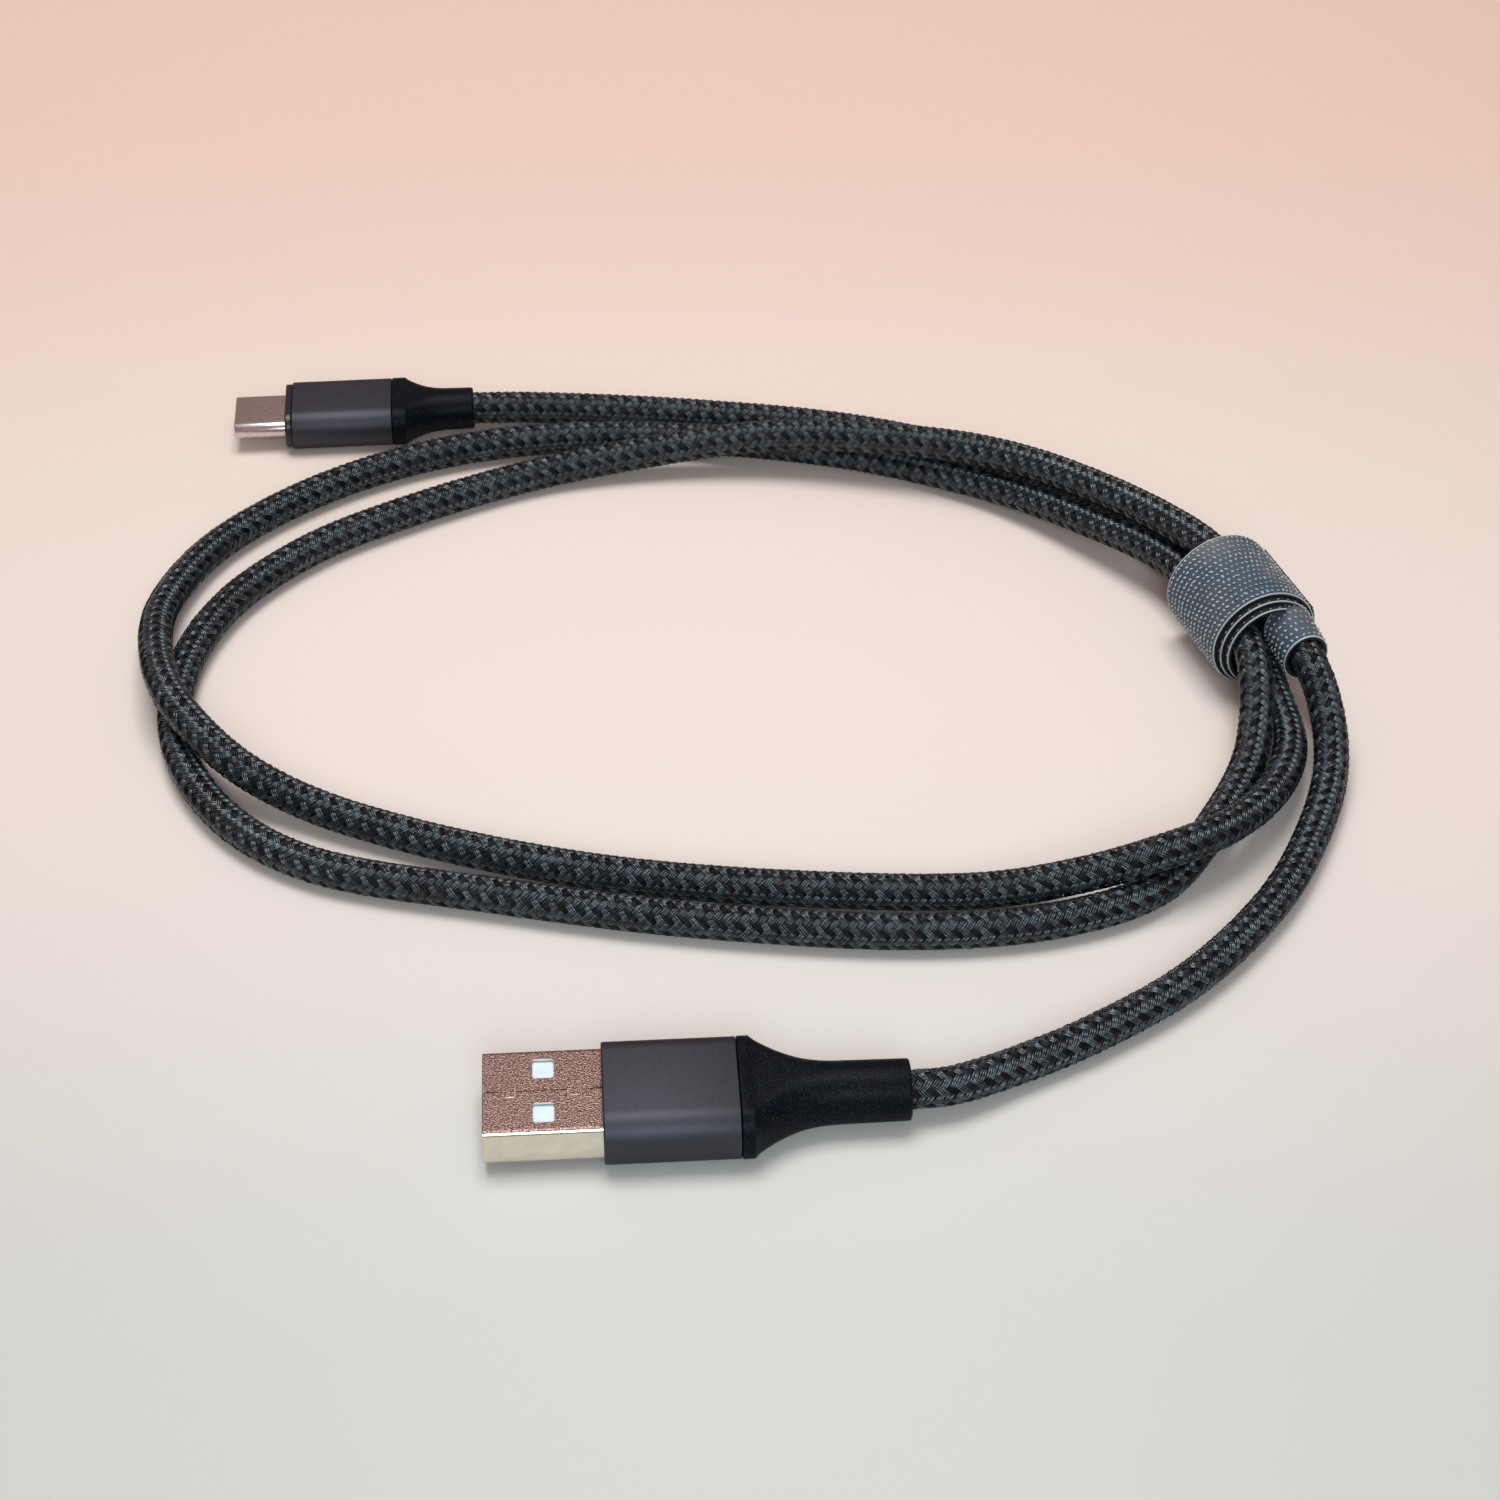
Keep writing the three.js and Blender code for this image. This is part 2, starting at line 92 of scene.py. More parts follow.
# A yarn's float: half its length in steps, and its three filaments' spacing, half width and fan
FLOAT_REACH = 1.32
FILAMENT = {"gap": 0.215, "half_width": 0.088, "fan": 1.12, "pinch": 0.34, "skew": 0.03}
FILAMENT_HEIGHT = {"droop": 0.035, "crown": 0.11}
UNEVEN = {"filament": 0.018, "float": 0.03, "height": 0.014, "strays": 0.3}

# The cord's centreline from the USB-A boot to the USB-C boot
CORD_ROUTE = [
    (17.2, -62.1, 3.35), (21.3, -61.2, 3.0), (28.8, -57.3, 2.2), (37.3, -52.5, 2.15), (48.3, -44.3, 2.15),
    (58.8, -31.8, 2.15), (64.6, -20.5, 2.15), (68.0, -10.5, 2.7), (68.6, -4.5, 4.6), (67.9, 0.8, 7.0),
    (66.7, 4.8, 8.5), (65.4, 8.8, 9.1), (60.8, 17.7, 9.6), (56.5, 25.8, 9.9), (51.2, 32.6, 9.5),
    (44.1, 40.2, 8.5), (36.2, 46.9, 7.5), (27.8, 51.2, 6.9), (12.8, 54.7, 6.2), (1.3, 56.0, 5.3),
    (-13.2, 55.2, 3.4), (-27.5, 52.0, 2.2), (-44.2, 43.4, 2.15), (-56.2, 34.8, 2.15), (-65.2, 23.0, 2.15),
    (-69.0, 9.0, 2.15), (-67.4, -5.0, 2.15), (-60.2, -17.6, 2.15), (-49.7, -25.4, 2.15), (-27.9, -30.8, 2.15),
    (-5.2, -34.8, 2.15), (20.3, -36.6, 2.15), (35.8, -34.4, 2.15), (46.4, -29.2, 2.15), (54.2, -17.6, 2.2),
    (58.7, -8.4, 3.2), (60.1, -2.6, 5.5), (60.4, 2.6, 7.6), (60.1, 7.2, 8.2), (57.2, 16.4, 7.4),
    (54.4, 25.0, 6.1), (51.4, 29.9, 5.6), (44.1, 37.9, 4.3), (36.0, 45.4, 3.1), (27.8, 50.7, 2.4),
    (12.8, 56.7, 2.15), (-7.2, 60.1, 2.15), (-27.9, 60.0, 2.15), (-43.7, 55.6, 2.15), (-57.7, 47.0, 2.15),
    (-68.2, 35.5, 2.2), (-72.8, 22.5, 2.9), (-71.9, 10.0, 5.5), (-68.4, -0.7, 6.6), (-60.4, -10.2, 4.9),
    (-52.0, -15.0, 2.9), (-37.6, -20.9, 2.15), (-16.8, -26.8, 2.15), (5.8, -29.6, 2.15), (26.8, -30.2, 2.5),
    (38.3, -29.9, 4.8), (46.6, -28.3, 6.6), (54.9, -22.6, 5.6), (61.3, -13.6, 3.9), (64.0, -4.9, 3.0),
    (63.3, 3.8, 3.3), (62.5, 7.8, 4.3), (60.8, 17.7, 5.2), (58.6, 26.5, 6.1), (53.4, 35.6, 4.8),
    (45.3, 45.0, 3.4), (36.8, 52.3, 2.5), (27.8, 57.4, 2.15), (12.8, 62.6, 2.15), (-6.2, 65.8, 2.15),
    (-23.2, 67.3, 2.2), (-31.7, 67.05, 2.6), (-36.9, 66.6, 2.8),
]


# ------------------------------------------------------------------ camera

def make_camera():
    data = bpy.data.cameras.new("camera")
    data.sensor_width = 36.0
    data.lens = 76.8
    camera = bpy.data.objects.new("camera", data)
    camera.location = (0.0002, -0.2965, 0.244)
    camera.rotation_euler = (math.radians(50.3), 0.0, 0.0)
    bpy.context.scene.collection.objects.link(camera)
    bpy.context.scene.camera = camera


make_camera()


# ------------------------------------------------------------------ materials

def principled(name, colour, roughness, metallic=0.0, **constants):
    """A Principled material and its shader. constants are socket names with _ for a space."""
    material = bpy.data.materials.new(name)
    material.use_nodes = True
    shader = material.node_tree.nodes["Principled BSDF"]
    shader.inputs["Base Color"].default_value = (*colour, 1.0)
    shader.inputs["Roughness"].default_value = roughness
    shader.inputs["Metallic"].default_value = metallic
    for socket, value in constants.items():
        shader.inputs[socket.replace("_", " ")].default_value = value
    return material, shader


def grain(material, shader, scale, low, high, bump=0.0, distance=0.00005, detail=3.0,
          spread=(0.35, 0.65)):
    """Noise of features about 1 / scale metres across, between two colours, and a bump of it."""
    tree = material.node_tree
    coordinates = tree.nodes.new("ShaderNodeTexCoord")
    noise = tree.nodes.new("ShaderNodeTexNoise")
    noise.inputs["Scale"].default_value = scale
    noise.inputs["Detail"].default_value = detail
    tree.links.new(coordinates.outputs["Object"], noise.inputs["Vector"])
    ramp = tree.nodes.new("ShaderNodeValToRGB")
    ramp.color_ramp.elements[0].position = spread[0]
    ramp.color_ramp.elements[1].position = spread[1]
    ramp.color_ramp.elements[0].color = (*low, 1.0)
    ramp.color_ramp.elements[1].color = (*high, 1.0)
    tree.links.new(noise.outputs["Fac"], ramp.inputs["Fac"])
    tree.links.new(ramp.outputs["Color"], shader.inputs["Base Color"])
    if bump:
        node = tree.nodes.new("ShaderNodeBump")
        node.inputs["Strength"].default_value = bump
        node.inputs["Distance"].default_value = distance
        tree.links.new(noise.outputs["Fac"], node.inputs["Height"])
        tree.links.new(node.outputs["Normal"], shader.inputs["Normal"])
    return noise


def grained(name, colour, roughness, scale, contrast, metallic=0.0, bump=0.0, distance=0.00005,
            **constants):
    """A Principled material whose colour varies by contrast either way, in a fine grain."""
    material, shader = principled(name, colour, roughness, metallic, **constants)
    low = [c * (1 - contrast) for c in colour]
    high = [min(1.0, c * (1 + contrast)) for c in colour]
    grain(material, shader, scale, low, high, bump, distance)
    return material


def make_shell_top():
    """Nickel that is bead-blasted on its broad faces and drawn smooth round its edges. The grain and bump are
    the blasting; the dark rosy tint is a painted reflection of the rosy surroundings.
    """
    material, shader = principled("nickel_blasted_painted_reflection", (0.28, 0.2, 0.18), 0.36, 1.0)
    # painted reflection: the grain's dark rosy colours stand in for the rosy surroundings mirrored in the
    # broad faces
    grain(material, shader, 5200.0, (0.12, 0.076, 0.068), (0.38, 0.26, 0.235), 1.0, 0.00006,
          detail=1.5, spread=(0.38, 0.62))
    return material


def make_boot_rubber():
    """Near-black rubber with a sparse, fine, bluish speckle of painted glints off its spark texture, over a
    bump of that texture.
    """
    material, shader = principled("boot_rubber_painted_glints", (0.002, 0.003, 0.005), 0.42, Specular_IOR_Level=0.07)
    # painted glints: the sparse bluish end of this grain stands in for light caught by the spark texture
    noise = grain(material, shader, 6500.0, (0.0015, 0.0025, 0.0045), (0.03, 0.055, 0.07), 0.5, 0.00004,
                  spread=(0.56, 0.72))
    noise.inputs["Roughness"].default_value = 0.7
    return material


NICKEL_TOP_PAINTED_REFLECTION = make_shell_top()
NICKEL_SIDE = grained("nickel_drawn", (0.74, 0.69, 0.59), 0.2, 900.0, 0.05, 1.0, bump=0.015)
NICKEL_C = grained("nickel_polished", (0.66, 0.6, 0.6), 0.24, 1500.0, 0.06, 1.0, bump=0.06)
ANODISED = grained("anodised_grey", (0.064, 0.066, 0.081), 0.54, 9000.0, 0.16, 1.0, bump=0.25,
                   distance=0.00002)
BOOT = make_boot_rubber()
RING = grained("front_ring", (0.009, 0.011, 0.014), 0.34, 5000.0, 0.2, bump=0.1)
NYLON = grained("white_nylon", (0.76, 0.88, 0.93), 0.4, 700.0, 0.04, Subsurface_Weight=0.1)
LCP = grained("black_lcp", (0.02, 0.021, 0.024), 0.45, 3000.0, 0.2, bump=0.1)
GOLD = grained("gold_contact", (0.83, 0.6, 0.24), 0.25, 2000.0, 0.06, 1.0)
SPRING = grained("spring_steel", (0.6, 0.6, 0.62), 0.28, 2500.0, 0.05, 1.0)
TINNED = grained("tinned_steel", (0.5, 0.5, 0.52), 0.4, 1800.0, 0.12, 1.0, bump=0.2)
BOARD = grained("circuit_board", (0.02, 0.14, 0.06), 0.45, 1200.0, 0.15)
CHIP = grained("chip", (0.02, 0.02, 0.022), 0.5, 4000.0, 0.2)
MOULD = grained("inner_mould", (0.7, 0.69, 0.62), 0.55, 900.0, 0.06)
JACKET = grained("jacket", (0.025, 0.027, 0.03), 0.55, 2500.0, 0.2, bump=0.2)
WIRES = {
    "wire_red": grained("wire_red", (0.36, 0.02, 0.015), 0.4, 900.0, 0.08),
    "wire_white": grained("wire_white", (0.72, 0.71, 0.68), 0.4, 900.0, 0.05),
    "wire_green": grained("wire_green", (0.03, 0.2, 0.06), 0.4, 900.0, 0.08),
    "wire_black": grained("wire_black", (0.015, 0.015, 0.017), 0.4, 900.0, 0.1),
}
CORE = principled("braid_core", (0.004, 0.006, 0.008), 0.8)[0]


def make_hook_tape():
    """Smoky nylon: slate in the middle of the strap, going over to a warm grey in broad patches."""
    material, shader = principled("tape_hook_base", (0.08, 0.11, 0.135), 0.6, Specular_IOR_Level=0.35)
    grain(material, shader, 95.0, (0.05, 0.085, 0.115), (0.15, 0.145, 0.155), detail=0.5,
          spread=(0.42, 0.62))
    return material


def yarn(name, colour, roughness, specular=0.8):
    return principled(name, colour, roughness, Specular_IOR_Level=specular)[0]


SLATE_YARNS = [
    yarn("yarn_slate", (0.0095, 0.021, 0.028), 0.25),
    yarn("yarn_slate_pale", (0.034, 0.06, 0.074), 0.22),
    yarn("yarn_slate_deep", (0.0045, 0.010, 0.015), 0.28),
]
BLACK_YARNS = [
    yarn("yarn_black", (0.002, 0.0022, 0.004), 0.4, 0.15),
    yarn("yarn_black_worn", (0.004, 0.004, 0.007), 0.36, 0.25),
]
TAPE_FACE = make_hook_tape()
TAPE_PILE = grained("tape_pile", (0.005, 0.006, 0.008), 0.8, 4200.0, 0.5, bump=1.0, distance=0.00012)
TAPE_RIM = principled("tape_rim", (0.42, 0.5, 0.55), 0.35, Sheen_Weight=0.2)[0]
HOOK = principled("hook", (0.42, 0.47, 0.5), 0.28)[0]

SLOT_LOOKS = {
    "nickel_shell": NICKEL_C, "white_nylon": NYLON, "black_lcp": LCP, "gold_contact": GOLD,
    "spring_steel": SPRING, "tinned_steel": TINNED, "circuit_board": BOARD, "chip": CHIP, "mould": MOULD,
    "anodised_housing": ANODISED, "front_ring": RING, "boot": BOOT, "jacket": JACKET, "cord_braid": CORE,
    "tie_tape": TAPE_FACE, **WIRES,
}


def dress_cad_nodes():
    for part in frame["record"]["subparts"]:
        mesh = frame["nodes"][part["node"]].data
        mesh.materials.clear()
        mesh.materials.append(SLOT_LOOKS[part["material_slot"]])


# ------------------------------------------------------------------ meshes

def plug_matrix(plug):
    place = Matrix.Translation((plug["mouth"][0] * MM, plug["mouth"][1] * MM, plug["height"] / 2 * MM))
    return place @ Matrix.Rotation(math.radians(plug["yaw"]), 4, "Z")


def piece(name, vertices, faces, materials, slots=None, matrix=None, smooth_below=35.0):
    """A mesh of vertices in millimetres, placed by matrix in metres.

    slots gives a material index to each face."""
    mesh = bpy.data.meshes.new(name)
    points = np.asarray(vertices, float).reshape(-1, 3) * MM
    if isinstance(faces, np.ndarray):
        corners = faces.shape[1]
        mesh.vertices.add(len(points))
        mesh.vertices.foreach_set("co", points.astype(np.float32).ravel())
        mesh.loops.add(faces.size)
        mesh.loops.foreach_set("vertex_index", faces.astype(np.int32).ravel())
        mesh.polygons.add(len(faces))
        mesh.polygons.foreach_set("loop_start", np.arange(0, faces.size, corners, dtype=np.int32))
        mesh.update(calc_edges=True)
    else:
        mesh.from_pydata([tuple(p) for p in points], [], [list(f) for f in faces])
        shape = bmesh.new()
        shape.from_mesh(mesh)
        bmesh.ops.recalc_face_normals(shape, faces=shape.faces)
        shape.to_mesh(mesh)
        shape.free()
    for material in materials:
        mesh.materials.append(material)
    if slots is not None:
        mesh.polygons.foreach_set("material_index", np.asarray(slots, np.int32))
    mesh.polygons.foreach_set("use_smooth", np.ones(len(mesh.polygons), bool))
    if smooth_below < 180:
        mesh.set_sharp_from_angle(angle=math.radians(smooth_below))
    if matrix is not None:
        mesh.transform(matrix)
    mesh.update()
    made = bpy.data.objects.new(name, mesh)
    bpy.context.scene.collection.objects.link(made)
    return made


def section(half_width, half_height, corner, per_corner=8):
    """A rounded rectangle of (y, z) points, anticlockwise seen from +X."""
    corner = min(corner, half_width, half_height)
    points = []
    for quarter in range(4):
        sign_y = 1 if quarter in (0, 3) else -1
        sign_z = 1 if quarter in (0, 1) else -1
        for i in range(per_corner):
            angle = (quarter + i / (per_corner - 1)) * math.pi / 2
            y = sign_y * (half_width - corner) + corner * math.cos(angle)
            z = sign_z * (half_height - corner) + corner * math.sin(angle)
            points.append((y, z))
    return points


def sleeve(rings, per_corner=8):
    """A closed band of rounded rectangles (x, half_width, half_height, corner).

    The last is joined to the first."""
    vertices, faces = [], []
    for x, half_width, half_height, corner in rings:
        vertices += [(x, y, z) for y, z in section(half_width, half_height, corner, per_corner)]
    count = 4 * per_corner
    for ring in range(len(rings)):
        after = (ring + 1) % len(rings)
        for i in range(count):
            j = (i + 1) % count
            faces.append((ring * count + i, ring * count + j, after * count + j, after * count + i))
    return vertices, faces


def evaluated(made):
    """Applies a piece's modifiers to its mesh."""
    bpy.context.view_layer.update()
    graph = bpy.context.evaluated_depsgraph_get()
    mesh = bpy.data.meshes.new_from_object(made.evaluated_get(graph))
    made.modifiers.clear()
    made.data = mesh


def prism(outline, low, high):
    """A closed prism of (x, y) points between two heights."""
    n = len(outline)
    vertices = [(x, y, low) for x, y in outline] + [(x, y, high) for x, y in outline]
    faces = [tuple(reversed(range(n))), tuple(range(n, 2 * n))]
    faces += [(i, (i + 1) % n, (i + 1) % n + n, i + n) for i in range(n)]
    return vertices, faces


def cut_away(made, cutters, matrix):
    """Cuts closed (vertices, faces) shapes out of a piece."""
    for i, (vertices, faces) in enumerate(cutters):
        cutter = piece(f"cutter_{i}", vertices, faces, [NICKEL_SIDE], matrix=matrix)
        modifier = made.modifiers.new("cut", "BOOLEAN")
        modifier.operation = "DIFFERENCE"
        modifier.solver = "EXACT"
        modifier.object = cutter
        evaluated(made)
        bpy.data.objects.remove(cutter)


def soften(made, width, segments=2, angle=40.0):
    """Rounds a piece's sharp edges over so many millimetres."""
    bevel = made.modifiers.new("soften", "BEVEL")
    bevel.width = width * MM
    bevel.segments = segments
    bevel.limit_method = "ANGLE"
    bevel.angle_limit = math.radians(angle)
    evaluated(made)
    made.data.polygons.foreach_set("use_smooth", np.ones(len(made.data.polygons), bool))
    made.data.set_sharp_from_angle(angle=math.radians(50))


# ------------------------------------------------------------------ the cord's line

def route_points(per_span=24):
    """The centripetal Catmull-Rom curve through CORD_ROUTE."""
    p = np.array(CORD_ROUTE)
    p = np.vstack([2 * p[0] - p[1], p, 2 * p[-1] - p[-2]])
    line = []
    for i in range(1, len(p) - 2):
        p0, p1, p2, p3 = p[i - 1], p[i], p[i + 1], p[i + 2]
        d0, d1, d2 = (np.linalg.norm(b - a) ** 0.5 for a, b in ((p0, p1), (p1, p2), (p2, p3)))
        m1 = ((p1 - p0) / d0 - (p2 - p0) / (d0 + d1) + (p2 - p1) / d1) * d1
        m2 = ((p2 - p1) / d1 - (p3 - p1) / (d1 + d2) + (p3 - p2) / d2) * d1
        for t in np.arange(per_span) / per_span:
            a, b = t * t, t * t * t
            near = (2 * b - 3 * a + 1) * p1 + (b - 2 * a + t) * m1
            line.append(near + (3 * a - 2 * b) * p2 + (b - a) * m2)
    line.append(p[-2])
    return np.array(line)


def evenly(line, step):
    """The line's points a step apart, with both ends run on by CORD_TUCK into the boots."""
    first, last = line[0] - line[1], line[-1] - line[-2]
    first, last = first / np.linalg.norm(first), last / np.linalg.norm(last)
    line = np.vstack([line[0] + first * CORD_TUCK, line, line[-1] + last * CORD_TUCK])
    along = np.concatenate([[0], np.cumsum(np.linalg.norm(np.diff(line, axis=0), axis=1))])
    count = int(round(along[-1] / step)) + 1
    at = np.linspace(0, along[-1], count)
    return at, np.stack([np.interp(at, along, line[:, k]) for k in range(3)], axis=1)


def frames_along(points):
    """Tangent, side and up vectors that don't twist along the line."""
    tangent = np.gradient(points, axis=0)
    tangent /= np.linalg.norm(tangent, axis=1)[:, None]
    up = np.array([0.0, 0.0, 1.0])
    side = np.cross(up, tangent[0])
    sides = [side / np.linalg.norm(side)]
    for i in range(1, len(points)):
        side = sides[-1] - tangent[i] * float(sides[-1] @ tangent[i])
        level = np.cross(up, tangent[i])
        side = side / np.linalg.norm(side) + 0.02 * level / max(np.linalg.norm(level), 1e-6)
        side -= tangent[i] * float(side @ tangent[i])
        sides.append(side / np.linalg.norm(side))
    sides = np.array(sides)
    return tangent, sides, np.cross(tangent, sides)


class Line:
    """The cord's centreline, even along its length, with its frames."""

    def __init__(self, step=0.25):
        self.at, self.points = evenly(route_points(), step)
        self.tangent, self.side, self.up = frames_along(self.points)
        self.length = self.at[-1]

    def place(self, along, angle, radius):
        """Points at distances along the cord, angles from its upper side to its left, and radii."""
        def sample(values):
            return np.stack([np.interp(along, self.at, values[:, k]) for k in range(3)], axis=-1)
        out = sample(self.up) * np.cos(angle)[..., None] + sample(self.side) * np.sin(angle)[..., None]
        return sample(self.points) + out * radius[..., None]


# ------------------------------------------------------------------ the cord

def make_core(line):
    """The smooth jacket under the braid, as a mesh tube."""
    sides = 14
    along = np.linspace(0, line.length, 900)
    angles = np.arange(sides) / sides * 2 * math.pi
    grid_s, grid_a = np.meshgrid(along, angles, indexing="ij")
    vertices = line.place(grid_s, grid_a, np.full(grid_s.shape, CORE_RADIUS)).reshape(-1, 3)
    faces = []
    for ring in range(len(along) - 1):
        for i in range(sides):
            j = (i + 1) % sides
            here, after = ring * sides, (ring + 1) * sides
            faces.append((here + i, here + j, after + j, after + i))
    faces.append(tuple(reversed(range(sides))))
    faces.append(tuple(range(len(vertices) - sides, len(vertices))))
    return piece("cord_core", vertices, faces, [CORE], smooth_below=60)


def stitches(line, hand):
    """Each float of the braid one way: its middle along the cord, its angle, and its carrier."""
    step = BRAID_PITCH / (2 * CARRIERS)
    turn = 2 * math.pi / (2 * CARRIERS)
    middle = 0.5 if hand > 0 else 2.5
    found = []
    for carrier in range(CARRIERS):
        for column in range(-int(line.length / step / 4) - 8, int(line.length / step / 4) + 8):
            at = 4 * column + 0.5 - 2 * carrier if hand > 0 else 2 * carrier - 4 * column - 2.5
            if 1.5 < at < line.length / step - 1.5:
                found.append((at * step, (4 * column + middle) * turn, carrier))
    return sorted(found)


def make_yarns(line, name, hand, chosen, materials, seed, splits):
    """The floats of chosen carriers as fans of three filaments, in pieces of the same length of cord."""
    rng = np.random.default_rng(seed)
    found = np.array([f for f in stitches(line, hand) if chosen(f[2])])
    count = len(found)
    filaments, rings = 3, 6
    step = BRAID_PITCH / (2 * CARRIERS)
    turn = 2 * math.pi / (2 * CARRIERS)
    arc = BRAID_RADIUS * turn
    span = math.hypot(step, arc)
    t = np.linspace(-FLOAT_REACH, FLOAT_REACH, rings)
    across = np.array([-1.0, 0.0, 1.0])
    # axes: stitch, filament, ring, across
    shape = (count, filaments, rings, 3)
    lane = (np.arange(filaments) - 1.0)[None, :, None, None]
    at = t[None, None, :, None]
    sideways = across[None, None, None, :]
    spread = FILAMENT["fan"] - FILAMENT["pinch"] * (at / FLOAT_REACH) ** 2
    wander = rng.normal(0, UNEVEN["filament"], (count, filaments, 1, 1))
    wander = wander + rng.normal(0, UNEVEN["float"], (count, 1, 1, 1)) * at
    offset = lane * FILAMENT["gap"] * spread + sideways * FILAMENT["half_width"] * spread
    offset = offset + wander + FILAMENT["skew"] * at
    lift = BRAID_LIFT * np.cos(math.pi * at / 2)
    crown = FILAMENT_HEIGHT["crown"] * (1 - np.abs(sideways)) - FILAMENT_HEIGHT["droop"] * np.abs(lane)
    uneven = rng.normal(0, UNEVEN["height"], (count, filaments, 1, 1))
    radius = BRAID_RADIUS + lift + crown + uneven + np.zeros(shape)
    along = found[:, 0][:, None, None, None] + at * step - hand * offset * arc / span
    angle = found[:, 1][:, None, None, None] + hand * at * turn + offset * step / span / BRAID_RADIUS
    vertices = line.place(np.broadcast_to(along, shape), np.broadcast_to(angle, shape) + BRAID_ROLL, radius)
    quads = []
    for ring in range(rings - 1):
        for k in range(2):
            a = ring * 3 + k
            quads.append((a, a + 3, a + 4, a + 1))
    quads = np.array(quads)
    look = rng.integers(0, len(materials), (count, 1)) * np.ones((1, filaments), int)
    strays = rng.random((count, filaments)) < UNEVEN["strays"]
    look[strays] = rng.integers(0, len(materials), int(strays.sum()))
    made = []
    for i, share in enumerate(np.array_split(np.arange(count), splits)):
        points = vertices[share].reshape(-1, 3)
        each = len(share) * filaments
        faces = (quads[None] + (np.arange(each) * rings * 3)[:, None, None]).reshape(-1, 4)
        slots = np.repeat(look[share].ravel(), len(quads))
        made.append(piece(f"{name}_{i + 1}", points, faces, materials, slots, smooth_below=180))
    return made


def make_cord():
    line = Line()
    core = make_core(line)
    yarns = make_yarns(line, "yarn_left", 1, lambda c: True, SLATE_YARNS, 11, 3)
    yarns += make_yarns(line, "yarn_right_slate", -1, lambda c: c % 2 == 0, SLATE_YARNS, 12, 2)
    yarns += make_yarns(line, "yarn_right_black", -1, lambda c: c % 2 == 1, BLACK_YARNS, 13, 2)
    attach(core, "cable")
    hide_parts("braided_cord")
    for strand in yarns:
        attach(strand, "cable")
    return line, core, yarns


# ------------------------------------------------------------------ plugs

def finish_piece(made, slot, *nodes, body="cable"):
    """Gives a piece its body and hides the CAD nodes that it stands for. slot is not used."""
    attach(made, body)
    if nodes:
        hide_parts(*nodes)
    return made


def seam_cutters(back, top):
    """Grooves for the seam with two dovetails where the strip's ends meet, along the shell's top."""
    dovetail, half, over = SEAM_A["dovetail"], SEAM_A["half_width"], SEAM_A["overlap"]
    seam = [
        (-0.5, 0), (2.15, 0), (1.75, -dovetail), (3.5, -dovetail), (3.35, 0),
        (8.95, 0), (8.6, -dovetail), (10.25, -dovetail), (10.4, 0), (back, 0),
    ]
    cutters = []
    for (x0, y0), (x1, y1) in zip(seam, seam[1:]):
        run = math.hypot(x1 - x0, y1 - y0)
        ux, uy = (x1 - x0) / run, (y1 - y0) / run
        start = (x0 - ux * over, y0 - uy * over)
        end = (x1 + ux * over, y1 + uy * over)
        outline = [
            (start[0] + uy * half, start[1] - ux * half), (end[0] + uy * half, end[1] - ux * half),
            (end[0] - uy * half, end[1] + ux * half), (start[0] - uy * half, start[1] + ux * half),
        ]
        cutters.append(prism(outline, top - SEAM_A["depth"], top + 0.5))
    return cutters


def make_shell_a():
    matrix = plug_matrix(PLUG_A)
    w, h = SHELL_A["width"] / 2, SHELL_A["height"] / 2
    wall, corner = SHELL_A["wall"], SHELL_A["corner"]
    back = A_X["housing"] + 1.0
    rings = [
        (back, w, h, corner), (0.09, w, h, corner),
        (0.02, w - 0.04, h - 0.04, corner), (0.0, w - 0.1, h - 0.1, corner - 0.1),
        (0.0, w - wall + 0.05, h - wall + 0.05, corner - wall + 0.05),
        (0.06, w - wall, h - wall, corner - wall), (back, w - wall, h - wall, corner - wall),
    ]
    vertices, faces = sleeve(rings, 6)
    shell = piece("usb_a_shell_drawn", vertices, faces, [NICKEL_TOP_PAINTED_REFLECTION, NICKEL_SIDE], matrix=matrix)
    cutters = []
    window = section(WINDOW_A["half_length"], WINDOW_A["half_width"], WINDOW_A["corner"], 5)
    for middle in (-WINDOW_A["across"], WINDOW_A["across"]):
        outline = [(WINDOW_A["along"] + y, middle + z) for y, z in window]
        cutters.append(prism(outline, -4, 4))
    cutters += seam_cutters(back, h)
    cut_away(shell, cutters, matrix)
    soften(shell, 0.05)
    # broad faces get the blasted nickel with its painted rosy reflection, the rest the drawn nickel
    broad = [0 if abs(p.normal.z) > 0.8 else 1 for p in shell.data.polygons]
    shell.data.polygons.foreach_set("material_index", broad)
    for face in shell.data.polygons:
        face.use_smooth = face.area < MM * MM
    finish_piece(shell, "nickel_shell", "usb_a_shell")


def make_housing(name, plug, x0, x1, mouth, look, slot, node, edge=0.22, back_edge=0.1):
    """A sleeve with rounded rims. mouth is the opening's (half_width, half_height, corner)."""
    w, h, corner = plug["width"] / 2, plug["height"] / 2, plug["corner"]
    inner = (w - HOUSING_WALL, h - HOUSING_WALL, corner - 0.5)

    def outer(x, inset):
        return x, w - inset, h - inset, corner - inset

    rings = []
    for i in range(5):
        angle = i / 4 * math.pi / 2
        rings.append(outer(x0 + edge * (1 - math.sin(angle)), edge * (1 - math.cos(angle))))
    rings += [(x0, *mouth), (x0 + 1.0, *mouth), (x0 + 1.0, *inner), (x1, *inner)]
    for i in range(3):
        angle = i / 2 * math.pi / 2
        rings.append(outer(x1 - back_edge * (1 - math.cos(angle)), back_edge * (1 - math.sin(angle))))
    vertices, faces = sleeve(rings, 10)
    made = piece(name, vertices, faces, [look], matrix=plug_matrix(plug))
    return finish_piece(made, slot, node)


